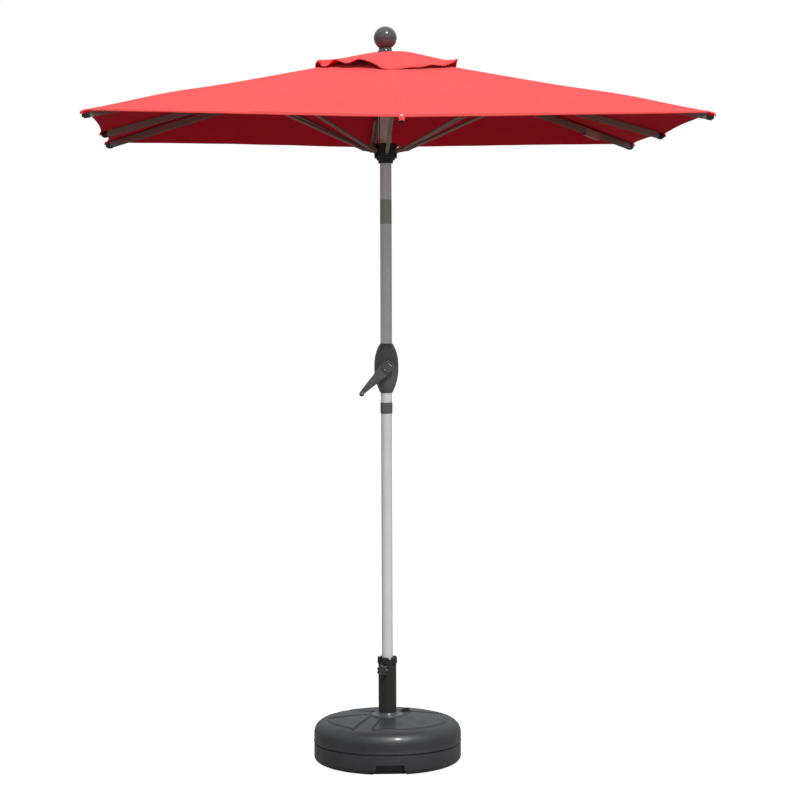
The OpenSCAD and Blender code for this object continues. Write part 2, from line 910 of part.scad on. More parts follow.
module socket_tube() {
    color([0.13, 0.12, 0.11])
        difference() {
            union() {
                translate([0, 0, pole_foot_z - 3.5])
                    cylinder(r = socket_d / 2, h = socket_z - pole_foot_z + 3.5, $fn = fine);
                translate([0, 0, flange_z])
                    cylinder(r = 43, h = 4, $fn = fine);
                for (a = [20 : 90 : 290])
                    rotate([0, 0, a])
                        translate([30, -13, flange_z])
                            cube([flange_r - 30, 26, 4]);
                translate([0, 0, flange_z])
                    cylinder(r = 34, h = 7, $fn = fine);
                clamp_axis()
                    cylinder(r = nut_r, h = nut_out, $fn = 6);
            }
            translate([0, 0, pole_foot_z - 0.5])
                cylinder(r = socket_d / 2 - 3, h = socket_z, $fn = fine);
            translate([0, 0, pole_foot_z - 10])
                cylinder(r = 12, h = 20);
            clamp_axis()
                cylinder(r = screw_r + 0.2, h = nut_out + 5);
        }
}

module pole_bush() {
    color([0.1, 0.1, 0.1])
        difference() {
            translate([0, 0, socket_z - 27])
                cylinder(r = socket_d / 2 - 3.05, h = 26.5, $fn = fine);
            translate([0, 0, socket_z - 30])
                cylinder(r = lower_d / 2 + 0.3, h = 40, $fn = fine);
        }
}

ring_foot = socket_z - 14.5;
ring_top = socket_z + 7;
ring_r = 32.8;
ring_teeth = 5;
ring_gap_w = 14;
ring_gap_dir = -72;

// The castellated ring screwed over the socket tube's top
module cap_ring() {
    color([0.12, 0.12, 0.12])
        difference() {
            rotate_extrude($fn = fine)
                polygon([[socket_d / 2 + 0.15, ring_foot], [ring_r - 0.6, ring_foot],
                         [ring_r, ring_foot + 1], [ring_r, ring_top - 1],
                         [ring_r - 0.8, ring_top], [lower_d / 2 + 1, ring_top],
                         [lower_d / 2 + 0.6, ring_top - 2], [lower_d / 2 + 0.6, socket_z + 0.6],
                         [socket_d / 2 + 0.15, socket_z + 0.6]]);
            for (k = [0 : ring_teeth - 1])
                rotate([0, 0, ring_gap_dir + 360 * k / ring_teeth])
                    translate([lower_d / 2 - 1, -ring_gap_w / 2, ring_top - 9])
                        cube([20, ring_gap_w, 12]);
        }
}

knob_r = 19.5;
knob_from = 40;
knob_t = 17;
lobes = 6;

module clamp_knob() {
    color([0.14, 0.14, 0.14])
        clamp_axis() {
            translate([0, 0, lower_d / 2 + 0.05])
                cylinder(r = screw_r, h = knob_from - lower_d / 2 + 4);
            difference() {
                union() {
                    translate([0, 0, knob_from])
                        cylinder(r = knob_r - 3.5, h = knob_t);
                    for (k = [0 : lobes - 1])
                        rotate([0, 0, 360 * k / lobes])
                            translate([knob_r - 5, 0, knob_from])
                                cylinder(r = 5, h = knob_t - 2);
                }
                translate([0, 0, knob_from + knob_t - 3])
                    cylinder(r = 10, h = 5);
            }
        }
}

// ---------------------------------------------------------------- nodes

base_tank();
ballast_fill();
filler_cap();
socket_tube();
pole_bush();
cap_ring();
clamp_knob();
lower_pole();
joint_sleeve();
pole_spigot();
upper_pole();
crank_housing_front();
crank_housing_rear();
housing_screws();
crank_shaft();
cord_spool();
crank_arm();
crank_pin();
crank_knob();
lift_cord();
cord_pulley();
pulley_bracket();
top_hub();
hub_pins();
finial();
runner();
runner_pins();
vent_canopy();
for (i = ALL_RIBS) {
    rib(i);
    strut(i);
    rib_fittings(i);
    canopy_gore(i);
}
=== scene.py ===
"""Looks of a crank-lift patio umbrella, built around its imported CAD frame."""
import json
import math

import bmesh
import bpy
from mathutils import Matrix, Vector, noise


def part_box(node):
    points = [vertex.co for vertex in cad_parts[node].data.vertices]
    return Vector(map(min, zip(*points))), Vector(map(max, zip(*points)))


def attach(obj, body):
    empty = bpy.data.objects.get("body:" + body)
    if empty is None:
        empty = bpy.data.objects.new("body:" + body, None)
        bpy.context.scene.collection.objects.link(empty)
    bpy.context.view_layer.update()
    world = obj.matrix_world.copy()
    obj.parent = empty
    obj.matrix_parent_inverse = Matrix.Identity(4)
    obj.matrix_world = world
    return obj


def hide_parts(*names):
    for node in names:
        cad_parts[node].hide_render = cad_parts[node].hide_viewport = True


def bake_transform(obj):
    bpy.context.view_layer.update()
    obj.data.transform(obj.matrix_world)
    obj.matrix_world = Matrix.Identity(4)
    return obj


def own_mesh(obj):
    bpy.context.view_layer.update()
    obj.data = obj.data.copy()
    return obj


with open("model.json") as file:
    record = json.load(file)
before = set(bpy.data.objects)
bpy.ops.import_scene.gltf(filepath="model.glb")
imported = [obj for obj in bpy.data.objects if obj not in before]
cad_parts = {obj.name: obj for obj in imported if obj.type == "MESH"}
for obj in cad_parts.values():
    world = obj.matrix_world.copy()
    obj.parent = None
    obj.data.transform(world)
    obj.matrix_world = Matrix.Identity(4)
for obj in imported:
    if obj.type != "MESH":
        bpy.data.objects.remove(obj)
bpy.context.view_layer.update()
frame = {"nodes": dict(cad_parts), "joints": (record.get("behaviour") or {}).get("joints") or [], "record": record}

nodes = frame["nodes"]
joints = {j["name"]: j for j in frame["joints"]}

SIDES = ["right", "back_right", "back", "back_left", "left", "front_left", "front", "front_right"]
CORNER, LONG, SHORT = 0, 1, 2


def kind(i):
    """Whether rib i runs to a corner, along the long axis or along the short axis."""
    if i % 2 == 1:
        return CORNER
    return LONG if i % 4 == 0 else SHORT


# ---------------------------------------------------------------- camera

CAMERA_FROM_POLE = 7.234
CAMERA_HEIGHT = 1.551
CAMERA_YAW = math.radians(4.215)
CAMERA_PITCH = math.radians(2.70)
CAMERA_PAN = math.radians(0.356)
CAMERA_ROLL = math.radians(0.18)
CAMERA_LENS = 98.1


def add_camera():
    data = bpy.data.cameras.new("camera")
    data.lens = CAMERA_LENS
    data.sensor_width = 36
    camera = bpy.data.objects.new("camera", data)
    bpy.context.scene.collection.objects.link(camera)
    place = Matrix.Translation((
        -CAMERA_FROM_POLE * math.sin(CAMERA_YAW),
        -CAMERA_FROM_POLE * math.cos(CAMERA_YAW),
        CAMERA_HEIGHT,
    ))
    turn = Matrix.Rotation(-CAMERA_YAW - CAMERA_PAN, 4, "Z")
    tilt = Matrix.Rotation(math.pi / 2 - CAMERA_PITCH, 4, "X")
    roll = Matrix.Rotation(-CAMERA_ROLL, 4, "Z")
    camera.matrix_world = place @ turn @ tilt @ roll
    bpy.context.scene.camera = camera


add_camera()

# ---------------------------------------------------------------- materials


class Nodes:
    """A short way to write a material's node tree."""

    def __init__(self, name):
        self.material = bpy.data.materials.new(name)
        self.material.use_nodes = True
        self.tree = self.material.node_tree
        self.shader = self.tree.nodes["Principled BSDF"]
        self.coords = self.tree.nodes.new("ShaderNodeTexCoord").outputs["Object"]

    def link(self, a, b):
        self.tree.links.new(a, b)

    def stretched(self, stretch):
        """Object coordinates, in metres, scaled along each axis."""
        node = self.tree.nodes.new("ShaderNodeMapping")
        node.inputs["Scale"].default_value = stretch
        self.link(self.coords, node.inputs["Vector"])
        return node.outputs["Vector"]

    def noise(self, scale, detail=3.0, stretch=(1, 1, 1)):
        node = self.tree.nodes.new("ShaderNodeTexNoise")
        node.inputs["Scale"].default_value = scale
        node.inputs["Detail"].default_value = detail
        self.link(self.stretched(stretch), node.inputs["Vector"])
        return node.outputs["Fac"]

    def wave(self, scale, direction):
        node = self.tree.nodes.new("ShaderNodeTexWave")
        node.bands_direction = direction
        node.inputs["Scale"].default_value = scale
        self.link(self.coords, node.inputs["Vector"])
        return node.outputs["Fac"]

    def math(self, operation, a, b):
        node = self.tree.nodes.new("ShaderNodeMath")
        node.operation = operation
        for socket, value in zip(node.inputs, (a, b)):
            if isinstance(value, (int, float)):
                socket.default_value = value
            else:
                self.link(value, socket)
        return node.outputs[0]

    def between(self, factor, low, high, start=0.3, end=0.7):
        """A number that goes from low to high as factor goes from start to end."""
        node = self.tree.nodes.new("ShaderNodeMapRange")
        node.inputs["From Min"].default_value = start
        node.inputs["From Max"].default_value = end
        node.inputs["To Min"].default_value = low
        node.inputs["To Max"].default_value = high
        self.link(factor, node.inputs["Value"])
        return node.outputs["Result"]

    def mixed(self, factor, first, second):
        node = self.tree.nodes.new("ShaderNodeMix")
        node.data_type = "RGBA"
        self.link(factor, node.inputs["Factor"])
        for socket, value in ((node.inputs[6], first), (node.inputs[7], second)):
            if isinstance(value, tuple):
                socket.default_value = (*value, 1)
            else:
                self.link(value, socket)
        return node.outputs[2]

    def colour(self, value):
        self.link(value, self.shader.inputs["Base Color"])

    def rough(self, value):
        self.link(value, self.shader.inputs["Roughness"])

    def bump(self, height, distance, strength):
        node = self.tree.nodes.new("ShaderNodeBump")
        node.inputs["Distance"].default_value = distance
        node.inputs["Strength"].default_value = strength
        self.link(height, node.inputs["Height"])
        self.link(node.outputs["Normal"], self.shader.inputs["Normal"])

    def set(self, **values):
        for name, value in values.items():
            label = name.replace("_", " ").title().replace("Ior", "IOR")
            self.shader.inputs[label].default_value = value


def shade(colour, factor):
    return tuple(c * factor for c in colour)


def cloth(name, face, dark, sheen, gloss=0.2):
    """Woven polyester: crossed threads, faint slubs, soft sheen."""
    n = Nodes(name)
    blotch = n.between(n.noise(2.2, 4), 0, 1)
    slub = n.between(n.noise(60, 2, (1, 0.08, 1)), 0, 1)
    base = n.mixed(blotch, dark, face)
    n.colour(n.mixed(n.math("MULTIPLY", slub, 0.35), base, shade(face, 0.9)))
    n.rough(n.between(n.noise(35, 3), 0.72, 0.88))
    warp = n.wave(900, "X")
    weft = n.wave(900, "Y")
    folds = n.math("MULTIPLY", n.noise(5, 3, (1, 1, 0.4)), 6.0)
    n.bump(n.math("ADD", n.math("ADD", warp, weft), folds), 0.00035, 0.55)
    n.set(sheen_weight=sheen, sheen_roughness=0.4, specular_ior_level=gloss)
    return n.material


def plastic(name, face, low, high, pebble, depth, coat=0.0):
    """Moulded plastic: fine pebble, handling wear, faint streaks of shade."""
    n = Nodes(name)
    patch = n.between(n.noise(9, 4), 0, 1)
    dust = n.between(n.noise(70, 5), 0, 1, 0.45, 0.75)
    base = n.mixed(patch, shade(face, 0.86), shade(face, 1.12))
    n.colour(n.mixed(n.math("MULTIPLY", dust, 0.25), base, shade(face, 1.5)))
    n.rough(n.between(n.noise(30, 4), low, high))
    n.bump(n.noise(pebble, 2), depth, 0.5)
    n.set(coat_weight=coat, coat_roughness=0.12)
    return n.material


def metal(name, face, low, high, streak, metallic=1.0, coat=0.0):
    """Drawn or painted metal with fine marks along the streak direction."""
    n = Nodes(name)
    marks = n.between(n.noise(420, 3, streak), 0, 1)
    patch = n.between(n.noise(6, 3), 0, 1)
    base = n.mixed(patch, shade(face, 0.92), shade(face, 1.05))
    n.colour(n.mixed(n.math("MULTIPLY", marks, 0.3), base, shade(face, 0.82)))
    n.rough(n.between(marks, low, high))
    n.bump(marks, 0.00004, 0.4)
    n.set(metallic=metallic, coat_weight=coat, coat_roughness=0.2)
    return n.material


ALONG_Z = (1, 1, 0.02)
EVEN = (1, 1, 1)

M = {
    "cloth_top": cloth("cloth_top", (0.95, 0.092, 0.090), (0.90, 0.080, 0.078), 0.22),
    # The underside is the upper cloth painted darker and deeper red, as painted shade
    "cloth_under_painted_shade": cloth("cloth_under_painted_shade", (0.70, 0.012, 0.028), (0.60, 0.010, 0.024), 0.0, 0.04),
    "cloth_hem": cloth("cloth_hem", (0.80, 0.06, 0.055), (0.72, 0.05, 0.045), 0.2),
    "tank": plastic("tank_plastic", (0.030, 0.030, 0.0325), 0.36, 0.50, 700, 0.0002, 0.2),
    "flange": plastic("flange_plastic", (0.075, 0.077, 0.08), 0.22, 0.34, 500, 0.00008, 0.3),
    "knob": plastic("knob_plastic", (0.042, 0.041, 0.040), 0.26, 0.36, 600, 0.00006, 0.2),
    "black": plastic("black_plastic", (0.014, 0.014, 0.014), 0.35, 0.5, 900, 0.0001),
    "grey": plastic("grey_plastic", (0.094, 0.095, 0.092), 0.48, 0.62, 800, 0.00012),
    "housing": plastic("housing_plastic", (0.118, 0.122, 0.120), 0.34, 0.46, 800, 0.0001, 0.25),
    "arm": plastic("arm_plastic", (0.084, 0.084, 0.081), 0.36, 0.5, 800, 0.0001, 0.2),
    "finial": plastic("finial_plastic", (0.068, 0.072, 0.08), 0.16, 0.24, 300, 0.00003, 0.6),
    "nylon": plastic("nylon", (0.7, 0.7, 0.66), 0.4, 0.5, 900, 0.00005),
    "sand": plastic("sand", (0.55, 0.45, 0.3), 0.85, 0.95, 600, 0.001),
    "pole": metal("pole_aluminium", (0.84, 0.84, 0.835), 0.24, 0.36, ALONG_Z, 0.35),
    "rib": metal("rib_paint", (0.30, 0.20, 0.165), 0.34, 0.48, EVEN, 0.3, 0.15),
    "steel_black": metal("socket_paint", (0.028, 0.025, 0.023), 0.28, 0.4, ALONG_Z, 0.3, 0.3),
    "zinc": metal("zinc_steel", (0.6, 0.6, 0.62), 0.25, 0.4, EVEN),
    "chrome": metal("chrome", (0.85, 0.85, 0.86), 0.06, 0.12, EVEN),
    "peg": plastic("peg_plastic", (0.10, 0.10, 0.10), 0.08, 0.14, 400, 0.00003, 0.5),
    "label": metal("label_foil", (0.40, 0.43, 0.34), 0.18, 0.3, ALONG_Z, 0.55, 0.3),
    "tag": cloth("tag_cloth", (0.60, 0.27, 0.24), (0.54, 0.23, 0.20), 0.1),
}

SLOT_LOOKS = {
    "tank_plastic": "tank",
    "sand": "sand",
    "black_plastic": "black",
    "black_steel": "steel_black",
    "pole_aluminium": "pole",
    "grey_plastic": "grey",
    "zinc_steel": "zinc",
    "chrome_pin": "chrome",
    "white_nylon": "nylon",
    "cord": "nylon",
    "finial_plastic": "finial",
    "canopy_cloth": "cloth_top",
    "rib_metal": "rib",
    "cap_plastic": "black",
}


def dress_cad_nodes():
    """Gives every CAD node the detailed material of its record slot."""
    slots = {p["node"]: p["material_slot"] for p in frame["record"]["subparts"]}
    for name, obj in nodes.items():
        look = M[SLOT_LOOKS[slots[name]]]
        if not obj.material_slots:
            obj.data.materials.append(look)
        for slot in obj.material_slots:
            slot.link = "OBJECT"
            slot.material = look


dress_cad_nodes()

# ---------------------------------------------------------------- mesh helpers

# Edges that turn by more than this many degrees stay crisp
SHARP = 35


def mesh_piece(name, verts, faces, looks):
    """A new smooth object from points and faces, with the named materials."""
    data = bpy.data.meshes.new(name)
    data.from_pydata([tuple(v) for v in verts], [], faces)
    data.validate()
    data.update()
    for look in looks:
        data.materials.append(M[look])
    obj = bpy.data.objects.new(name, data)
    bpy.context.scene.collection.objects.link(obj)
    data.shade_smooth()
    return obj


def apply_modifiers(obj):
    """Turns an object's modifiers into its mesh."""
    bpy.context.view_layer.update()
    done = bpy.data.meshes.new_from_object(obj.evaluated_get(bpy.context.evaluated_depsgraph_get()))
    obj.modifiers.clear()
    old = obj.data
    obj.data = done
    done.name = obj.name
    bpy.data.meshes.remove(old)
    return obj


def sharpen(obj, degrees=SHARP):
    """Smooth shading with crisp edges where faces turn by more than an angle."""
    obj.data.shade_smooth()
    obj.data.set_sharp_from_angle(angle=math.radians(degrees))
    return obj


def rounded(obj, width, segments):
    """Breaks the sharp edges of a mesh with a small bevel."""
    mod = obj.modifiers.new("edge", "BEVEL")
    mod.width = width
    mod.segments = segments
    mod.limit_method = "ANGLE"
    mod.angle_limit = math.radians(SHARP)
    apply_modifiers(obj)
    return sharpen(obj)


def lathe(name, outline, look, steps, place=Matrix.Identity(4), at=None):
    """A surface of revolution about z of (radius, height) points, closed at radius 0.

    at(radius, height, angle) may move a point: it returns a new (radius, height).
    """
    verts, faces, rings = [], [], []
    for radius, height in outline:
        if radius < 1e-7:
            rings.append([len(verts)])
            verts.append(place @ Vector((0, 0, height)))
            continue
        ring = []
        for k in range(steps):
            angle = 2 * math.pi * k / steps
            r, h = at(radius, height, angle) if at else (radius, height)
            ring.append(len(verts))
            verts.append(place @ Vector((r * math.cos(angle), r * math.sin(angle), h)))
        rings.append(ring)
    pairs = list(zip(rings, rings[1:]))
    if outline[0][0] > 1e-7:
        pairs.append((rings[-1], rings[0]))
    for a, b in pairs:
        if len(a) == 1 and len(b) == 1:
            continue
        for k in range(steps):
            n = (k + 1) % steps
            if len(a) == 1:
                faces.append((a[0], b[n], b[k]))
            elif len(b) == 1:
                faces.append((a[k], a[n], b[0]))
            else:
                faces.append((a[k], a[n], b[n], b[k]))
    obj = mesh_piece(name, verts, faces, [look])
    fix_normals(obj)
    return sharpen(obj)


def fix_normals(obj):
    """Turns all faces of a closed mesh outwards."""
    bm = bmesh.new()
    bm.from_mesh(obj.data)
    bmesh.ops.recalc_face_normals(bm, faces=bm.faces)
    bm.to_mesh(obj.data)
    bm.free()
    return obj


def arc(cx, cz, radius_x, radius_z, start, end, count):
    """Points of an ellipse's arc, angles in degrees from +x towards +z."""
    turn = [math.radians(start + (end - start) * k / (count - 1)) for k in range(count)]
    return [(cx + radius_x * math.cos(a), cz + radius_z * math.sin(a)) for a in turn]


def extruded(name, outline, low, high, look, place=Matrix.Identity(4)):
    """A prism of a flat outline of (x, y) points between two heights."""
    count = len(outline)
    verts = [place @ Vector((x, y, low)) for x, y in outline]
    verts += [place @ Vector((x, y, high)) for x, y in outline]
    faces = [tuple(reversed(range(count))), tuple(range(count, 2 * count))]
    faces += [(k, (k + 1) % count, count + (k + 1) % count, count + k) for k in range(count)]
    obj = mesh_piece(name, verts, faces, [look])
    return fix_normals(obj)


def carve(obj, cutter):
    """Cuts one mesh with another, which is then removed."""
    mod = obj.modifiers.new("cut", "BOOLEAN")
    mod.operation = "DIFFERENCE"
    mod.object = cutter
    mod.solver = "EXACT"
    apply_modifiers(obj)
    bpy.data.objects.remove(cutter)
    return obj


def smoothstep(x):
    x = min(max(x, 0.0), 1.0)
    return x * x * (3 - 2 * x)


# ---------------------------------------------------------------- canopy


def seam_ends(i):
    """The two ends of the ridge that rib i lifts in its CAD cloth, upper face, as (r, z)."""
    away = fold_plane[i][0]
    points = []
    for v in nodes[f"canopy_{SIDES[i]}"].data.vertices:
        across = v.co.dot(fold_plane[i][1])
        if abs(across) < 0.002:
            points.append((v.co.dot(away), v.co.z))
    inner = max((p for p in points if p[0] < 0.3), key=lambda p: p[1])
    outer = max((p for p in points if p[0] > 0.5), key=lambda p: p[1])
    return inner, outer


canopy_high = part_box("canopy_back_right")[1]
corner_angle = math.atan2(canopy_high.y, canopy_high.x)
AZ = [
    0, corner_angle, math.pi / 2, math.pi - corner_angle,
    math.pi, math.pi + corner_angle, 1.5 * math.pi, 2 * math.pi - corner_angle,
]
fold_plane = [
    (Vector((math.cos(a), math.sin(a), 0)), Vector((-math.sin(a), math.cos(a), 0))) for a in AZ
]
RIDGE = [seam_ends(i) for i in range(8)]
REACH = [ridge[1][0] for ridge in RIDGE]
# The cloth's thickness, pulls and bumps in metres; the shares are of a rib's length
CLOTH = 0.0009
HEM_PULL = 0.015
TAPE_HALF = 0.011
HOLE_SHARE = 0.115
VENT_SHARE = 0.246
BUMP_AT = 0.86
BUMP_WIDE = 0.16
BUMP_HIGH = 0.006
SAG = 0.006
WIDE_WRINKLE, FINE_WRINKLE = 0.0022, 0.0006
SEAM_LAP = 0.0006
# Where the seam tape has a row of points, as shares of its half width; the lap is raised
# up to the share in LAP_TO
TAPE_PARTS = (0.3, 0.55, 0.62, 1)
LAP_TO = 0.6


def ridge_z(i, r):
    """Height of the cloth's upper face over rib i at a distance from the pole."""
    (r0, z0), (r1, z1) = RIDGE[i]
    bowed = BUMP_HIGH * math.exp(-((r - BUMP_AT) / BUMP_WIDE) ** 2) if kind(i) == CORNER else 0
    return z0 + (r - r0) * (z1 - z0) / (r1 - r0) + bowed


def ridge_point(i, share, lift=0.0):
    r = REACH[i] * share
    return fold_plane[i][0] * r + Vector((0, 0, ridge_z(i, r) + lift))


def wrinkle(p, share):
    """Height of the cloth's small uneven pulls, with more fine ones near the hem."""
    q = Vector((p.x * 2.3, p.y * 2.3, 1.7))
    wide = noise.noise(q) * WIDE_WRINKLE
    near_hem = smoothstep((share - 0.8) / 0.2)
    fine = noise.noise(Vector((p.x * 9, p.y * 9, 4.1))) * FINE_WRINKLE * (0.4 + near_hem)
    return wide + fine


def main_cloth(i, j, share, u):
    """A point on the cloth between rib i (u = 0) and its neighbour j (u = 1)."""
    pull = 1 - HEM_PULL * 4 * u * (1 - u) * smoothstep((share - 0.45) / 0.55)
    a = ridge_point(i, share * pull)
    b = ridge_point(j, share * pull)
    p = a.lerp(b, u)
    calm = smoothstep(min(u, 1 - u) * (b - a).length / 0.07)
    sag = -SAG * 4 * u * (1 - u) * share * (1 - 0.5 * share)
    p.z += calm * (wrinkle(p, share) + sag)
    return p


def tape_edge(i, point_of, neighbour):
    """How far along a gore the seam tape of rib i ends, as a share of the panel's width."""
    a = point_of(i, neighbour, 0.0)
    b = point_of(i, neighbour, 1.0)
    across = abs((b - a).dot(fold_plane[i][1]))
    return min(TAPE_HALF / max(across, 1e-6), 0.45)


def skin(name, grid, looks, hem_rows=0, flip=False):
    """A closed thin sheet under a grid of points, upper face first, with its own underside.

    The last hem_rows rows, away from the pole, are folded double and get the hem's look.
    """
    rows, cols = len(grid), len(grid[0])
    verts = [p for row in grid for p in row]
    double = CLOTH * 2.2
    for k, row in enumerate(grid):
        drop = double if k >= rows - hem_rows - 1 and hem_rows else CLOTH
        verts += [p - Vector((0, 0, drop)) for p in row]
    under = rows * cols
    faces, marks = [], []
    for a in range(rows - 1):
        hem = hem_rows and a >= rows - 1 - hem_rows
        for b in range(cols - 1):
            p, q = a * cols + b, (a + 1) * cols + b
            quad = (p, q, q + 1, p + 1)
            faces.append(quad if not flip else tuple(reversed(quad)))
            marks.append(2 if hem else 0)
            quad = (under + p, under + p + 1, under + q + 1, under + q)
            faces.append(quad if not flip else tuple(reversed(quad)))
            marks.append(3 if hem else 1)
    edge = [(a * cols, (a + 1) * cols) for a in range(rows - 1)]
    edge += [((rows - 1) * cols + b, (rows - 1) * cols + b + 1) for b in range(cols - 1)]
    edge += [((a + 1) * cols + cols - 1, a * cols + cols - 1) for a in range(rows - 1)]
    edge += [(b + 1, b) for b in range(cols - 1)]
    for a, b in edge:
        quad = (a, under + a, under + b, b)
        faces.append(quad if not flip else tuple(reversed(quad)))
        marks.append(2 if hem_rows else 0)
    obj = mesh_piece(name, verts, faces, looks)
    obj.data.polygons.foreach_set("material_index", marks)
    return sharpen(obj, 50)


def flat_size(grid):
    """Width, length and area of the cut that a grid of points was sewn from."""
    rows = [sum((b - a).length for a, b in zip(row, row[1:])) for row in grid]
    middle = [row[len(row) // 2] for row in grid]
    length = sum((b - a).length for a, b in zip(middle, middle[1:]))
    area = 0.0
    for upper, lower in zip(grid, grid[1:]):
        for k in range(len(upper) - 1):
            one = (lower[k] - upper[k]).cross(lower[k + 1] - upper[k]).length
            two = (lower[k + 1] - upper[k]).cross(upper[k + 1] - upper[k]).length
            area += (one + two) / 2
    return max(rows), length, area


def declare_cloth(obj, grid):
    width, length, area = flat_size(grid)
    width = round(width + 0.00005, 4)
    length = round(max(length, area / width) + 0.00005, 4)
    return obj


# Looks of a sheet's faces: upper face, underside in painted shade, hem, hem's underside in painted shade
CLOTH_LOOKS = ["cloth_top", "cloth_under_painted_shade", "cloth_hem", "cloth_under_painted_shade"]
HEM = 0.022
MIDDLE = 0.5


def half_panel(i, j, point_of, shares, columns):
    """Points of the half panel from the tape of rib i to the seamless middle before rib j."""
    grid = []
    for share in shares:
        start = tape_edge(i, lambda a, b, u: point_of(a, b, share, u), j)
        row = []
        for k in range(columns):
            u = start + (MIDDLE - start) * k / (columns - 1)
            row.append(point_of(i, j, share, u))
        grid.append(row)
    return grid


def flatten_with(obj, i):
    """The half panel beside rib i is carried by the rib, with a mesh of its own."""
    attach(obj, f"rib_{SIDES[i]}")
    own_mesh(obj)


def row_shares(first, last, count, hem_share):
    """Shares of the rib at which a gore's rows lie, with the hem's fold as the last rows."""
    plain = [first + (last - hem_share - first) * k / (count - 3) for k in range(count - 2)]
    return plain + [last - hem_share / 2, last]


def add_main_canopy():
    for i in range(8):
        hem_share = HEM / REACH[i]
        shares = row_shares(HOLE_SHARE, 1.0, 44, hem_share)
        halves = []
        for j in ((i + 1) % 8, (i - 1) % 8):
            toward = "ahead" if (j - i) % 8 == 1 else "behind"
            grid = half_panel(i, j, main_cloth, shares, 22)
            obj = skin(
                f"panel_{SIDES[i]}_{toward}", grid, CLOTH_LOOKS, hem_rows=2, flip=toward == "behind",
            )
            flatten_with(obj, i)
            halves.append((obj, grid))
        tape = seam_tape(i, shares)
        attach(tape, f"rib_{SIDES[i]}")
        declare_cloth(halves[0][0], halves[0][1])
        declare_cloth(halves[1][0], halves[1][1])
        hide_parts(f"canopy_{SIDES[i]}")


def seam_tape(i, shares):
    """The felled seam over rib i: a strip with a raised lap along its middle."""
    before, after = (i - 1) % 8, (i + 1) % 8
    grid = []
    for share in shares:
        row = []
        for j, order in ((before, TAPE_PARTS[::-1]), (after, (0, *TAPE_PARTS))):
            edge = tape_edge(i, lambda a, b, u: main_cloth(a, b, share, u), j)
            for part in order:
                p = main_cloth(i, j, share, edge * part)
                p.z += SEAM_LAP if part < LAP_TO else 0.0
                row.append(p)
        grid.append(row)
    return skin(f"seam_{SIDES[i]}", grid, CLOTH_LOOKS, hem_rows=2)


add_main_canopy()

# ---------------------------------------------------------------- vent cap

VENT_TOP_R = 0.0275
VENT_TOP_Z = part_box("vent_canopy")[1].z

# How far the vent's free edge stands over the main cloth, in metres, as (share of
# the way from a rib to the next, height). The front edge is the most creased one.
FRONT_LEFT_EDGE = [
    (0, 0.014), (0.035, 0.026), (0.085, 0.008), (0.16, 0.010), (0.26, 0.029), (0.39, 0.020),
    (0.46, 0.021), (0.57, 0.033), (0.66, 0.031), (0.79, 0.020), (0.89, 0.007), (0.96, 0.003),
    (1, 0.002),
]
FRONT_RIGHT_EDGE = [
    (0, 0.002), (0.06, 0.002), (0.16, 0.004), (0.31, 0.0075), (0.47, 0.0075), (0.62, 0.0136),
    (0.77, 0.010), (0.83, 0.011), (0.93, 0.019), (1, 0.027),
]
RIB_LIFT = [0.013, 0.022, 0.010, 0.022, 0.013, 0.014, 0.002, 0.030]
# How late along each rib the cap starts to lift, and how much it bows upwards
LIFT_POWER = [5, 4, 2.2, 2.2, 2.2, 2.2, 2.2, 5]
BOW = [0.010, 0.004, 0.005, 0.003, 0.0025, 0.0025, 0.006, 0.011]
# The cap's reach along each rib, as a share of its usual one
VENT_TRIM = [1, 1, 1, 1, 1, 1.02, 1.12, 0.958]
CROWN_END = 0.16


def plain_edge(low):
    """A gently waved free edge between two ribs."""
    a, b = RIB_LIFT[low], RIB_LIFT[(low + 1) % 8]
    sway = 0.004 if low % 2 else -0.003
    return [(0, a), (0.3, a * 0.62 + b * 0.2 + sway), (0.65, a * 0.3 + b * 0.5 - sway), (1, b)]


EDGES = {low: plain_edge(low) for low in range(8)}
EDGES[5] = FRONT_LEFT_EDGE
EDGES[6] = FRONT_RIGHT_EDGE


def along(points, x):
    """A smooth curve through (x, y) points."""
    for k in range(len(points) - 1):
        if x <= points[k + 1][0] or k == len(points) - 2:
            break
    p0 = points[max(k - 1, 0)]
    p1, p2 = points[k], points[k + 1]
    p3 = points[min(k + 2, len(points) - 1)]
    t = (x - p1[0]) / (p2[0] - p1[0])
    m1 = (p2[1] - p0[1]) / (p2[0] - p0[0]) * (p2[0] - p1[0])
    m2 = (p3[1] - p1[1]) / (p3[0] - p1[0]) * (p2[0] - p1[0])
    cube, square = t ** 3, t ** 2
    start = (2 * cube - 3 * square + 1) * p1[1] + (cube - 2 * square + t) * m1
    return start + (3 * square - 2 * cube) * p2[1] + (cube - square) * m2


def vent_cloth(i, j, share, u):
    """A point on the vent cap: share 0 at its crown and 1 at its free edge."""
    low, w = (i, u) if (j - i) % 8 == 1 else (j, 1 - u)

    def on(k):
        reach = REACH[k] * VENT_SHARE * VENT_TRIM[k]
        r = VENT_TOP_R + (reach - VENT_TOP_R) * share
        z = VENT_TOP_Z + (ridge_z(k, reach) - VENT_TOP_Z) * share ** 1.12
        return fold_plane[k][0] * r + Vector((0, 0, z))

    high = (low + 1) % 8
    p = on(i).lerp(on(j), u)
    p.z += along(EDGES[low], w) * share ** (LIFT_POWER[low] * (1 - w) + LIFT_POWER[high] * w)
    p.z += (BOW[low] * (1 - w) + BOW[high] * w) * math.sin(math.pi * share ** 0.7)
    p.z += noise.noise(Vector((p.x * 14, p.y * 14, 7.7))) * 0.0022 * math.sin(math.pi * share)
    return p


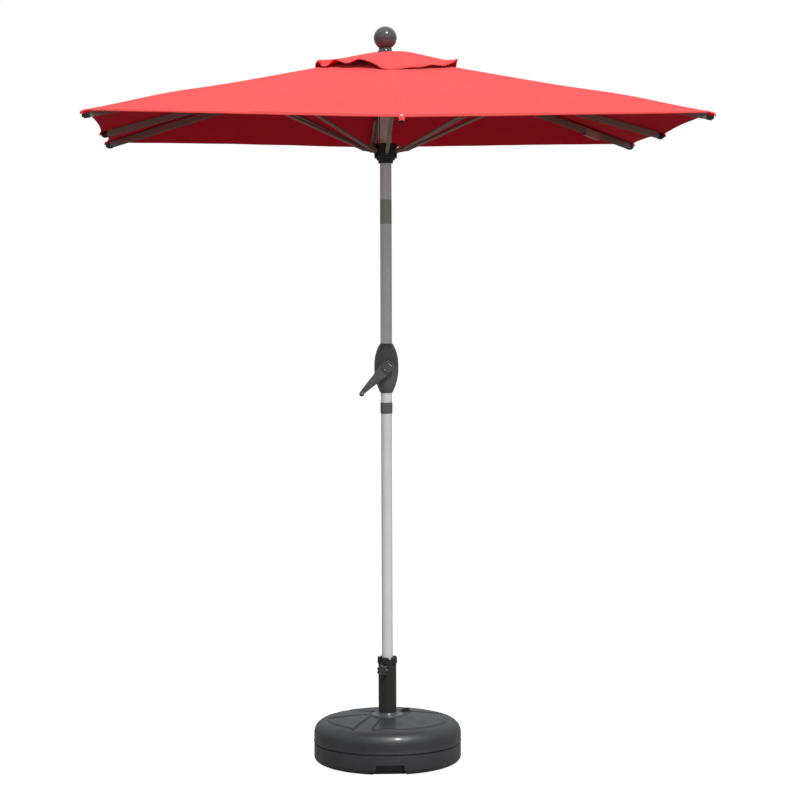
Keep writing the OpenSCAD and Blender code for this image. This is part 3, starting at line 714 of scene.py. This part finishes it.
def add_vent():
    for i in range(8):
        side = SIDES[i]
        crown_shares = [CROWN_END * k / 6 for k in range(7)]
        ahead, behind = (i + 1) % 8, (i - 1) % 8
        grid = []
        for share in crown_shares:
            left = [vent_cloth(i, behind, share, 0.5 - 0.5 * k / 6) for k in range(7)]
            right = [vent_cloth(i, ahead, share, 0.5 * k / 6) for k in range(1, 7)]
            grid.append(left + right)
        crown = skin(f"vent_crown_{side}", grid, CLOTH_LOOKS)
        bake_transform(crown)
        declare_cloth(crown, grid)
        hem_share = 0.012 / (REACH[i] * VENT_SHARE)
        shares = row_shares(CROWN_END, 1.0, 24, hem_share)
        for j in (ahead, behind):
            toward = "ahead" if j == ahead else "behind"
            grid = half_panel(i, j, vent_cloth, shares, 26)
            obj = skin(
                f"vent_{side}_{toward}", grid, CLOTH_LOOKS, hem_rows=2, flip=toward == "behind",
            )
            flatten_with(obj, i)
            declare_cloth(obj, grid)
            if i == 0 and j == ahead:
                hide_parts("vent_canopy")
        grid = []
        for share in shares:
            row = []
            for j, order in ((behind, (1, 0.5)), (ahead, (0, 0.5, 1))):
                edge = tape_edge(i, lambda a, b, u: vent_cloth(a, b, share, u), j)
                row += [vent_cloth(i, j, share, edge * part) for part in order]
            grid.append(row)
        tape = skin(f"vent_seam_{side}", grid, CLOTH_LOOKS, hem_rows=2)
        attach(tape, f"rib_{side}")
        declare_cloth(tape, grid)


add_vent()

# ---------------------------------------------------------------- base

SIDE_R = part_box("base_tank")[1].x - 0.0012
# The tank, its raised panels and the grooves round them, in metres
TANK_H = 0.152
LIP_Z = 0.073
PANEL_H = 0.0034
PANEL_IN, PANEL_OUT = 0.060, 0.201
PANEL_EDGE = 0.006
GROOVE_H, GROOVE_OUT, GROOVE_W = 0.0022, 0.0015, 0.0022
# The part of the tank's top that the panels may mould
TOP_FROM_Z, TOP_FROM_R, TOP_TO_R = 0.12, 0.05, 0.215
# The panels' straight edges: how far each lies from the pole, or its direction in degrees
RIGHT_AT, RIGHT_BACK_Y, RIGHT_LEFT_X = -109, 0.047, -0.12
LEFT_FRONT_AT, LEFT_FRONT_OFF, LEFT_BACK_AT = 245.7, 0.0435, 181
BACK_FRONT_Y, BACK_LEFT_AT, BACK_SHORT = 0.058, 128, 0.004
REAR_LEFT_FROM, REAR_LEFT_TO = 174, 134
NOTCH_DIR = math.radians(-92.3)
NOTCH_W, NOTCH_H, NOTCH_D, NOTCH_FLARE = 0.095, 0.037, 0.045, 0.009
NOTCH_REACH = 0.08


def edge_distance(x, y, degrees):
    """Distance of a point from a line out of the pole, positive clockwise of it."""
    a = math.radians(degrees)
    return x * math.sin(a) - y * math.cos(a)


def panel_inset(r, angle):
    """How far inside the nearest raised panel's edge a point of the tank's top lies."""
    x, y = r * math.cos(angle), r * math.sin(angle)
    ring = min(r - PANEL_IN, PANEL_OUT - r)
    right = min(-edge_distance(x, y, RIGHT_AT), RIGHT_BACK_Y - y, x - RIGHT_LEFT_X)
    left_front = edge_distance(x, y, LEFT_FRONT_AT) - LEFT_FRONT_OFF
    left = min(left_front, -edge_distance(x, y, LEFT_BACK_AT), -x)
    back = min(y - BACK_FRONT_Y, edge_distance(x, y, BACK_LEFT_AT), PANEL_OUT - BACK_SHORT - r)
    rear_left = min(edge_distance(x, y, REAR_LEFT_FROM), -edge_distance(x, y, REAR_LEFT_TO))
    return min(ring, max(right, left, back, rear_left))


def tank_top(r, z, angle):
    """The tank's outline with its raised panels and the groove round each one."""
    if z < TOP_FROM_Z or not TOP_FROM_R < r < TOP_TO_R:
        return r, z
    inside = panel_inset(r, angle)
    rise = PANEL_H * smoothstep(inside / PANEL_EDGE)
    groove = -GROOVE_H * math.exp(-((inside + GROOVE_OUT) / GROOVE_W) ** 2)
    return r, z + rise + groove


def tank_outline():
    foot = arc(SIDE_R - 0.038, 0.022, 0.038, 0.022, -90, 0, 12)
    lip = [
        (SIDE_R, LIP_Z - 0.009), (SIDE_R - 0.0005, LIP_Z - 0.0065), (SIDE_R - 0.004, LIP_Z - 0.005),
        (SIDE_R - 0.004, LIP_Z - 0.0025), (SIDE_R + 0.0008, LIP_Z - 0.001),
        (SIDE_R + 0.0012, LIP_Z + 0.001), (SIDE_R, LIP_Z + 0.0035), (SIDE_R, LIP_Z + 0.012),
    ]
    rim = arc(SIDE_R - 0.044, TANK_H - 0.052, 0.044, 0.0425, 0, 90, 24)
    top = []
    for k in range(1, 52):
        r = SIDE_R - 0.044 - (SIDE_R - 0.044 - 0.040) * k / 51
        high = 0.1425 + (SIDE_R - 0.044 - r) * 0.112
        top.append((r, min(high, 0.1505 + (0.130 - r) * 0.07) if r < 0.130 else high))
    well = [(0.0345, 0.155), (0.0305, 0.152), (0.0305, 0.029), (0, 0.029)]
    return [(0, 0), (0.15, 0)] + foot + lip + rim + top + well


def add_tank():
    tank = lathe("tank_shell", tank_outline(), "tank", steps=480, at=tank_top)
    half = NOTCH_W / 2
    shape = [
        (-half - NOTCH_FLARE, -0.01), (half + NOTCH_FLARE, -0.01), (half + NOTCH_FLARE * 0.8, 0.004),
        (half, 0.018), (half - 0.001, NOTCH_H - 0.004), (half - 0.005, NOTCH_H),
        (-half + 0.005, NOTCH_H), (-half + 0.001, NOTCH_H - 0.004), (-half, 0.018),
        (-half - NOTCH_FLARE * 0.8, 0.004),
    ]
    for turn in (0, math.pi):
        place = (
            Matrix.Rotation(NOTCH_DIR + turn, 4, "Z")
            @ Matrix.Translation((SIDE_R - NOTCH_D, 0, 0))
            @ Matrix.Rotation(math.pi / 2, 4, "Z")
            @ Matrix.Rotation(math.pi / 2, 4, "X")
        )
        carve(tank, extruded("notch", shape, 0, NOTCH_REACH, "tank", place))
    sharpen(tank, 40)
    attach(tank, "base")
    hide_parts("base_tank")


add_tank()

BUTTON_AT = (-0.128, -0.163, 0.1482)


def add_flange():
    """The round foot of the socket tube, and the button beside the left panel."""
    outline = [
        (0.0303, 0.1668), (0.0345, 0.1664), (0.0362, 0.1640), (0.0368, 0.1622), (0.0500, 0.1612),
        (0.0532, 0.1602), (0.0542, 0.1585), (0.0540, 0.1520), (0.0303, 0.1520),
    ]
    ring = lathe("socket_flange", outline, "flange", steps=96)
    button = lathe(
        "tank_button", [(0, -0.004), (0.0045, -0.004), (0.0042, 0.0012), (0.003, 0.002), (0, 0.0022)],
        "flange", steps=24, place=Matrix.Translation(BUTTON_AT),
    )
    for part in (ring, button):
        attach(part, "base")


KNOB_REACH, KNOB_THICK = 0.057, 0.017
KNOB_LOBES, KNOB_R, KNOB_WAVE = 7, 0.0176, 0.0019


def add_clamp_knob():
    """The lobed hand knob on its clamp screw."""
    joint = joints["clamp_knob_turn"]
    low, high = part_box("clamp_knob")
    axis = Vector(joint["axis"]).normalized()
    reach = max(Vector((x, y, 0)).dot(axis) for x in (low.x, high.x) for y in (low.y, high.y))
    place = Matrix.Translation(joint["pos_m"]) @ axis.to_track_quat("Z", "Y").to_matrix().to_4x4()
    front = min(reach, KNOB_REACH)
    back = front - KNOB_THICK
    rim = []
    for k in range(140):
        angle = 2 * math.pi * k / 140
        r = KNOB_R + KNOB_WAVE * math.cos(KNOB_LOBES * angle)
        rim.append((r * math.cos(angle), r * math.sin(angle)))
    wheel = extruded("knob_shell", rim, back, front - 0.002, "knob")
    rounded(wheel, 0.0026, 3)
    wheel.data.transform(place)
    fix_normals(wheel)
    face = lathe(
        "knob_face",
        [(0, front - 0.004), (0.0142, front - 0.004), (0.0142, front - 0.0012), (0.0132, front),
         (0.0112, front), (0.0100, front - 0.0016), (0.0040, front - 0.0016), (0, front - 0.0010)],
        "knob", 64, place,
    )
    screw = lathe(
        "knob_screw",
        [(0, 0.0186), (0.004, 0.0186), (0.004, back + 0.002), (0, back + 0.002)],
        "zinc", 32, place,
    )
    for part in (wheel, face, screw):
        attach(part, "clamp_knob")
    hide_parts("clamp_knob")


add_flange()
add_clamp_knob()

# ---------------------------------------------------------------- crank

housing_low, housing_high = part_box("crank_housing_front")
crank_at = Vector(joints["crank_turn"]["pos_m"])


def housing_r(z):
    """The housing's radius at a height, widest just under the crank's axis."""
    low, high, middle = housing_low.z, housing_high.z, crank_at.z - 0.004
    wide, end = housing_high.x, 0.0205
    if z > middle:
        return wide - (wide - end) * ((z - middle) / (high - middle)) ** 2.65
    return wide - (wide - end) * ((middle - z) / (middle - low)) ** 2.1


def housing_line(r, z, angle):
    """The fine parting line where the housing's two halves meet."""
    off = abs(math.sin(angle)) * r
    return r - 0.0005 * math.exp(-(off / 0.0009) ** 2), z


def add_housing():
    low, high = housing_low.z, housing_high.z
    outline = [(0.0196, low + 0.001), (0.0200, low)]
    outline += [(housing_r(low + (high - low) * k / 60), low + (high - low) * k / 60) for k in range(1, 60)]
    outline += [(0.0200, high), (0.0196, high - 0.001)]
    shell = lathe("housing_shell", outline, "housing", steps=240, at=housing_line)
    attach(shell, "mast")
    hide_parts("crank_housing_front", "crank_housing_rear")
    front = Matrix.Translation(crank_at) @ Matrix.Rotation(math.pi / 2, 4, "X")
    reach = -housing_low.y
    boss = lathe(
        "housing_boss",
        [(0, 0.030), (0.021, 0.030)] + arc(0.0185, reach - 0.0025, 0.0025, 0.0025, 0, 90, 5)
        + [(0, reach)],
        "housing", steps=72, place=front,
    )
    boss.parent = shell
    boss.matrix_parent_inverse = shell.matrix_world.inverted()


ARM_LENGTH, ARM_HEAD_R, ARM_TIP_R = 0.123, 0.022, 0.0068
SLOT_HALF_W, SLOT_HALF_L, SLOT_D = 0.0037, 0.0082, 0.0035
RIVET_AT = 0.0125


def arm_outline():
    """Outline of the crank arm, from the crank axis along x."""
    head = arc(0, 0, ARM_HEAD_R, ARM_HEAD_R, 80, 280, 28)
    tip = arc(ARM_LENGTH, 0, ARM_TIP_R, ARM_TIP_R, -88, 88, 10)
    return head + tip


def add_arm():
    knob_at = Vector(joints["crank_knob_spin"]["pos_m"])
    offset = knob_at - crank_at
    turn = math.atan2(offset.z, offset.x)
    low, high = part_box("crank_arm")
    place = (
        Matrix.Translation((crank_at.x, high.y, crank_at.z))
        @ Matrix.Rotation(math.pi / 2, 4, "X")
        @ Matrix.Rotation(turn, 4, "Z")
    )
    thick = high.y - low.y
    arm = extruded("arm_shell", arm_outline(), 0, thick - 0.003, "arm")
    dome = lathe(
        "arm_head", [(0, 0.002), (0.0205, 0.002)] + arc(0.0165, thick - 0.0035, 0.004, 0.0035, 0, 90, 6)
        + [(0, thick)], "arm", steps=64,
    )
    rounded(arm, 0.0022, 3)
    pin_low, pin_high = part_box("crank_pin")
    pin_at = place.inverted() @ ((pin_low + pin_high) / 2)
    slot = [
        (pin_at.x - SLOT_HALF_W, -SLOT_HALF_L), (pin_at.x + SLOT_HALF_W, -SLOT_HALF_L),
        (pin_at.x + SLOT_HALF_W, SLOT_HALF_L), (pin_at.x - SLOT_HALF_W, SLOT_HALF_L),
    ]
    for part in (dome, arm):
        carve(part, extruded("slot", slot, thick - SLOT_D, thick + 0.01, "arm"))
    sharpen(dome, 40)
    arm.data.transform(place)
    dome.data.transform(place)
    rivet_place = place @ Matrix.Translation((RIVET_AT, 0, thick - 0.0002))
    rivet = lathe(
        "arm_rivet", [(0, 0), (0.0026, 0), (0.0024, 0.0008), (0, 0.0012)], "zinc", 24, rivet_place,
    )
    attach(arm, "crank")
    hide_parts("crank_arm")
    for part in (dome, rivet):
        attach(part, "crank")
    peg_place = place @ Matrix.Translation((ARM_LENGTH, 0, thick - 0.0016))
    peg = lathe(
        "peg_shell",
        [(0, -0.010), (0.0025, -0.010), (0.0025, 0), (0.005, 0), (0.0062, 0.004), (0.0072, 0.012),
         (0.0083, 0.020)] + arc(0, 0.0225, 0.0086, 0.0092, 0, 90, 10),
        "peg", 48, peg_place,
    )
    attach(peg, "crank_knob")
    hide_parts("crank_knob")


add_housing()
add_arm()

# ---------------------------------------------------------------- finial


def add_finial():
    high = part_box("finial")[1]
    radius = high.x
    centre = high.z - radius
    neck_z = VENT_TOP_Z + 0.0004
    ball = []
    for a in range(-56, 91, 3):
        angle = math.radians(a)
        r = radius * math.cos(angle)
        seam = 0.0006 * math.exp(-((a + 2) / 2.2) ** 2) - 0.0007 * math.exp(-((a + 12) / 2.5) ** 2)
        ball.append((max(r + seam, 0) if a < 90 else 0, centre + radius * math.sin(angle)))
    neck = [
        (0, neck_z), (0.0262, neck_z), (0.0266, neck_z + 0.0015), (0.0252, neck_z + 0.0035),
        (0.0226, neck_z + 0.006), (0.0216, neck_z + 0.0085), (0.0213, neck_z + 0.0105),
    ]
    obj = lathe("finial_shell", neck + ball, "finial", steps=96)
    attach(obj, "mast")
    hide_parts("finial")
    screw_place = (
        Matrix.Translation((0.0015, -0.0262, neck_z + 0.0028)) @ Matrix.Rotation(math.pi / 2, 4, "X")
    )
    screw = lathe(
        "finial_screw", [(0, -0.002), (0.0021, -0.002), (0.0019, 0.0008), (0, 0.0012)],
        "zinc", 20, screw_place,
    )
    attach(screw, "mast")


add_finial()

# ---------------------------------------------------------------- small trim

LABEL_LOW, LABEL_HIGH = 1.793, 1.873
LABEL_FROM, LABEL_TURN = -196, 212


def add_label():
    """A plain wrap label round the upper pole, with nothing on it."""
    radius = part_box("upper_pole")[1].x + 0.0002
    verts, faces = [], []
    steps = 48
    for k in range(steps + 1):
        angle = math.radians(LABEL_FROM + LABEL_TURN * k / steps)
        for z in (LABEL_LOW, LABEL_HIGH):
            verts.append((radius * math.cos(angle), radius * math.sin(angle), z))
    faces = [(2 * k, 2 * k + 2, 2 * k + 3, 2 * k + 1) for k in range(steps)]
    label = mesh_piece("blank_label", verts, faces, ["label"])
    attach(label, "mast")


# Which ribs have a stud, and at what share of the rib
STUDS = ((6, 0.986), (5, 0.988))
STUD_OUTLINE = [(0, -0.001), (0.0045, -0.001), (0.0045, 0.0015), (0.003, 0.0035), (0, 0.0042)]


def add_studs():
    """White studs that pin the hem to the front rib and to a corner rib."""
    for i, place in STUDS:
        (r0, z0), (r1, z1) = RIDGE[i]
        tilt = Matrix.Rotation(math.atan2(z0 - z1, r1 - r0), 4, fold_plane[i][1])
        at = Matrix.Translation(ridge_point(i, place)) @ tilt
        stud = lathe(f"stud_{SIDES[i]}", STUD_OUTLINE, "nylon", 24, at)
        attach(stud, f"rib_{SIDES[i]}")


POCKET_HALF = 0.0104
POCKET_LIFT = 0.0012
# The pocket's rows, from its mouth over the rib's end: (back from the cloth's end, drop
# of its crown, drop of its lower edge)
POCKET_ROWS = [
    (0.021, 0, 0.0085), (0.014, 0, 0.0105), (0.006, 0.0002, 0.0115), (0.000, 0.0006, 0.0115),
    (-0.0032, 0.0022, 0.0112), (-0.0044, 0.0060, 0.0108), (-0.0046, 0.0100, 0.0112),
]
POCKET_WIDTHS = [1, 1, 1, 0.97, 0.86, 0.78, 0.74]


def add_pockets():
    """The sewn pocket of the hem that takes the end of each rib."""
    up = Vector((0, 0, 1))
    for i in range(8):
        across = fold_plane[i][1]
        grid = []
        for (back, crown, skirt), narrow in zip(POCKET_ROWS, POCKET_WIDTHS):
            p = ridge_point(i, 1 - back / REACH[i], POCKET_LIFT)
            half = POCKET_HALF * narrow
            row = [(-half, skirt), (-half, crown + 0.003), (-half * 0.7, crown + 0.0006), (0, crown)]
            row += [(-c, drop) for c, drop in reversed(row[:-1])]
            grid.append([p + across * c - up * max(drop, crown) for c, drop in row])
        pocket = skin(f"pocket_{SIDES[i]}", grid, CLOTH_LOOKS)
        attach(pocket, f"rib_{SIDES[i]}")
        declare_cloth(pocket, grid)


TAG_FROM, TAG_TO = 0.916, 0.985
TAG_HALF, TAG_DROP, TAG_THICK = 0.0094, 0.0295, 0.0006


def add_tag():
    """A plain strip wrapped round the back right rib, with nothing on it."""
    i = 1
    start = ridge_point(i, TAG_FROM / REACH[i], -BUMP_HIGH)
    end = ridge_point(i, TAG_TO / REACH[i], -BUMP_HIGH)
    section = [
        (-TAG_HALF, -0.0048), (-TAG_HALF - 0.0006, -0.015), (-TAG_HALF + 0.001, -TAG_DROP),
        (TAG_HALF - 0.001, -TAG_DROP - 0.001), (TAG_HALF + 0.0008, -0.014), (TAG_HALF, -0.0048),
    ]
    across, up = fold_plane[i][1], Vector((0, 0, 1))
    verts, faces = [], []
    for p in (start, start.lerp(end, 0.5) - up * 0.0008, end):
        for c, h in section:
            verts.append(p + across * c + up * h)
    count = len(section)
    for row in range(2):
        for k in range(count - 1):
            a = row * count + k
            faces.append((a, a + 1, a + count + 1, a + count))
    tag = mesh_piece("blank_tag", verts, faces, ["tag"])
    mod = tag.modifiers.new("thick", "SOLIDIFY")
    mod.thickness = TAG_THICK
    apply_modifiers(tag)
    sharpen(tag, 50)
    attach(tag, "rib_back_right")


add_label()
add_studs()
add_pockets()
add_tag()

# ---------------------------------------------------------------- floor and light

FLOOR_BOUNCE = (0.235, 0.22, 0.21)
AMBIENT = (0.88, 0.94, 1.0)
AMBIENT_LOW = 0.15
AMBIENT_TOP = 0.55
AMBIENT_FRONT = 0.16
AMBIENT_RIGHT = 0.07
AMBIENT_BACK = 0.15
AMBIENT_GAINS = [
    ("Z", 1, AMBIENT_TOP), ("Y", -1, AMBIENT_FRONT), ("X", 1, AMBIENT_RIGHT), ("Y", 1, AMBIENT_BACK),
]
FLOOR_GLOW = 0.94
KEY_FROM = (0.30, -1.0, 1.27)
KEY_SOFTNESS = math.radians(3)
KEY_STRENGTH = 2.85


def add_floor():
    """A wide floor that the camera sees white, but that reflects like grey paper."""
    size = 60.0
    verts = [(-size, -size, 0), (size, -size, 0), (size, size, 0), (-size, size, 0)]
    floor = mesh_piece("floor", verts, [(0, 1, 2, 3)], [])
    n = Nodes("floor")
    grain = n.between(n.noise(0.8, 3), 0, 1)
    seen = n.tree.nodes.new("ShaderNodeLightPath").outputs["Is Camera Ray"]
    pale = n.mixed(grain, (0.20, 0.20, 0.20), (0.22, 0.22, 0.22))
    n.link(n.math("MULTIPLY", seen, FLOOR_GLOW), n.shader.inputs["Emission Strength"])
    n.shader.inputs["Emission Color"].default_value = (1, 1, 1, 1)
    n.colour(n.mixed(seen, FLOOR_BOUNCE, pale))
    n.rough(n.between(n.noise(40, 3), 0.85, 0.95))
    n.set(specular_ior_level=0.1)
    floor.data.materials.append(n.material)


def add_key():
    """One lamp with slightly soft shadows, high in front and a little to the right."""
    data = bpy.data.lights.new("key", "SUN")
    data.energy = KEY_STRENGTH
    data.angle = KEY_SOFTNESS
    light = bpy.data.objects.new("key", data)
    bpy.context.scene.collection.objects.link(light)
    light.rotation_euler = (-Vector(KEY_FROM)).to_track_quat("-Z", "Y").to_euler()


def add_light():
    """A backdrop that the camera sees white, and a sky that lights more from some sides."""
    world = bpy.data.worlds.new("world")
    world.use_nodes = True
    tree = world.node_tree
    background = tree.nodes["Background"]
    background.inputs["Color"].default_value = (*AMBIENT, 1)
    direction = tree.nodes.new("ShaderNodeTexCoord").outputs["Generated"]
    parts = tree.nodes.new("ShaderNodeSeparateXYZ")
    tree.links.new(direction, parts.inputs["Vector"])
    total = None
    for axis, sign, gain in AMBIENT_GAINS:
        share = tree.nodes.new("ShaderNodeMapRange")
        share.inputs["From Min"].default_value = 0
        share.inputs["From Max"].default_value = sign
        share.inputs["To Min"].default_value = 0
        share.inputs["To Max"].default_value = gain
        tree.links.new(parts.outputs[axis], share.inputs["Value"])
        both = tree.nodes.new("ShaderNodeMath")
        both.operation = "ADD"
        both.inputs[1].default_value = AMBIENT_LOW
        if total:
            tree.links.new(total, both.inputs[1])
        tree.links.new(share.outputs["Result"], both.inputs[0])
        total = both.outputs[0]
    tree.links.new(total, background.inputs["Strength"])
    backdrop = tree.nodes.new("ShaderNodeBackground")
    backdrop.inputs["Color"].default_value = (1, 1, 1, 1)
    chosen = tree.nodes.new("ShaderNodeMixShader")
    path = tree.nodes.new("ShaderNodeLightPath")
    tree.links.new(path.outputs["Is Camera Ray"], chosen.inputs["Fac"])
    tree.links.new(background.outputs["Background"], chosen.inputs[1])
    tree.links.new(backdrop.outputs["Background"], chosen.inputs[2])
    tree.links.new(chosen.outputs[0], tree.nodes["World Output"].inputs["Surface"])
    bpy.context.scene.world = world
    add_key()
    bpy.context.scene.view_settings.view_transform = "Standard"


add_floor()
add_light()
